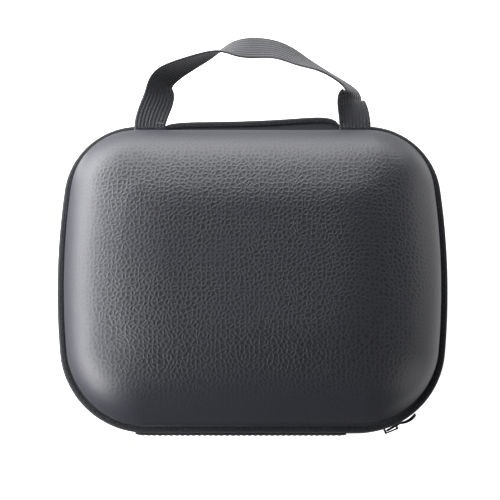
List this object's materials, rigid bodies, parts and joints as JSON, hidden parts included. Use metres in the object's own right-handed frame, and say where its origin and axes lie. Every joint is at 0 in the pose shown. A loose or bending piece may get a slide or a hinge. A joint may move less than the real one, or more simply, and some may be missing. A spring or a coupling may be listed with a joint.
{
  "type": "hard-shell zip carrying case",
  "caption": "Moulded hard-shell zip case with grained leathercloth cover, bound zip band, cloth hinge, slider with pull tab, webbing handle, fitted foam and lid net pocket.",
  "frame": {"origin": "centre of the flat face of the rear shell that the case rests on", "axes": "+Z from the rear shell to the front shell (the lid), +X to the right and +Y to the handle as seen from above; the hinge runs along -Y"},
  "size_m": [0.244, 0.2547, 0.114],
  "materials": {
    "leathercloth": "pebble-grained leathercloth, satin",
    "pressed_foam": "pressed closed-cell foam, matte",
    "lining": "brushed knit",
    "binding": "woven binding tape",
    "zip_tape": "woven herringbone tape",
    "zip_coil": "nylon coil",
    "zip_metal": "black enamelled die-cast zinc",
    "hinge_cloth": "woven cloth",
    "webbing": "ribbed webbing",
    "soft_foam": "open-cell foam, matte",
    "net": "knitted mesh",
    "elastic": "ribbed elastic"
  },
  "bodies": {
    "base": {"rear_cover": "leathercloth", "rear_shell": "pressed_foam", "rear_lining": "lining", "rear_binding": "binding", "rear_zip_tape": "zip_tape", "rear_zip_coil": "zip_coil", "rear_zip_stop": "zip_metal", "rear_spine": "hinge_cloth", "rear_hinge_leaf": "hinge_cloth", "foam_bed": "soft_foam", "foam_insert": "soft_foam"},
    "lid": {"front_cover": "leathercloth", "front_shell": "pressed_foam", "front_lining": "lining", "front_binding": "binding", "front_zip_tape": "zip_tape", "front_zip_coil": "zip_coil", "front_zip_stop": "zip_metal", "front_spine": "hinge_cloth", "front_hinge_leaf": "hinge_cloth", "handle_tail_left": "webbing", "handle_tail_right": "webbing", "pocket_net": "net", "pocket_hem": "elastic", "pocket_binding": "elastic"},
    "handle": {"handle_webbing": "webbing"},
    "slider": {"slider_body": "zip_metal", "slider_bridge": "zip_metal"},
    "pull": {"pull_tab": "zip_metal"}
  },
  "joints": [
    {"name": "lid_hinge", "type": "hinge", "parent": "base", "child": "lid", "pos_m": [0, -0.0983, 0.057], "axis": [1, 0, 0], "range_deg": [0, 180]},
    {"name": "handle_swing", "type": "hinge", "parent": "lid", "child": "handle", "pos_m": [0, 0.098, 0.0681], "axis": [1, 0, 0], "range_deg": [-65, 85]},
    {"name": "zip_travel", "type": "hinge", "parent": "base", "child": "slider", "pos_m": [0.06504, -0.042, 0.057], "axis": [0, 0, 1], "range_deg": [0, 52]},
    {"name": "pull_swing", "type": "hinge", "parent": "slider", "child": "pull", "pos_m": [0.08387, -0.09501, 0.057], "axis": [0, 0, -1], "range_deg": [0, 130]}
  ]
}
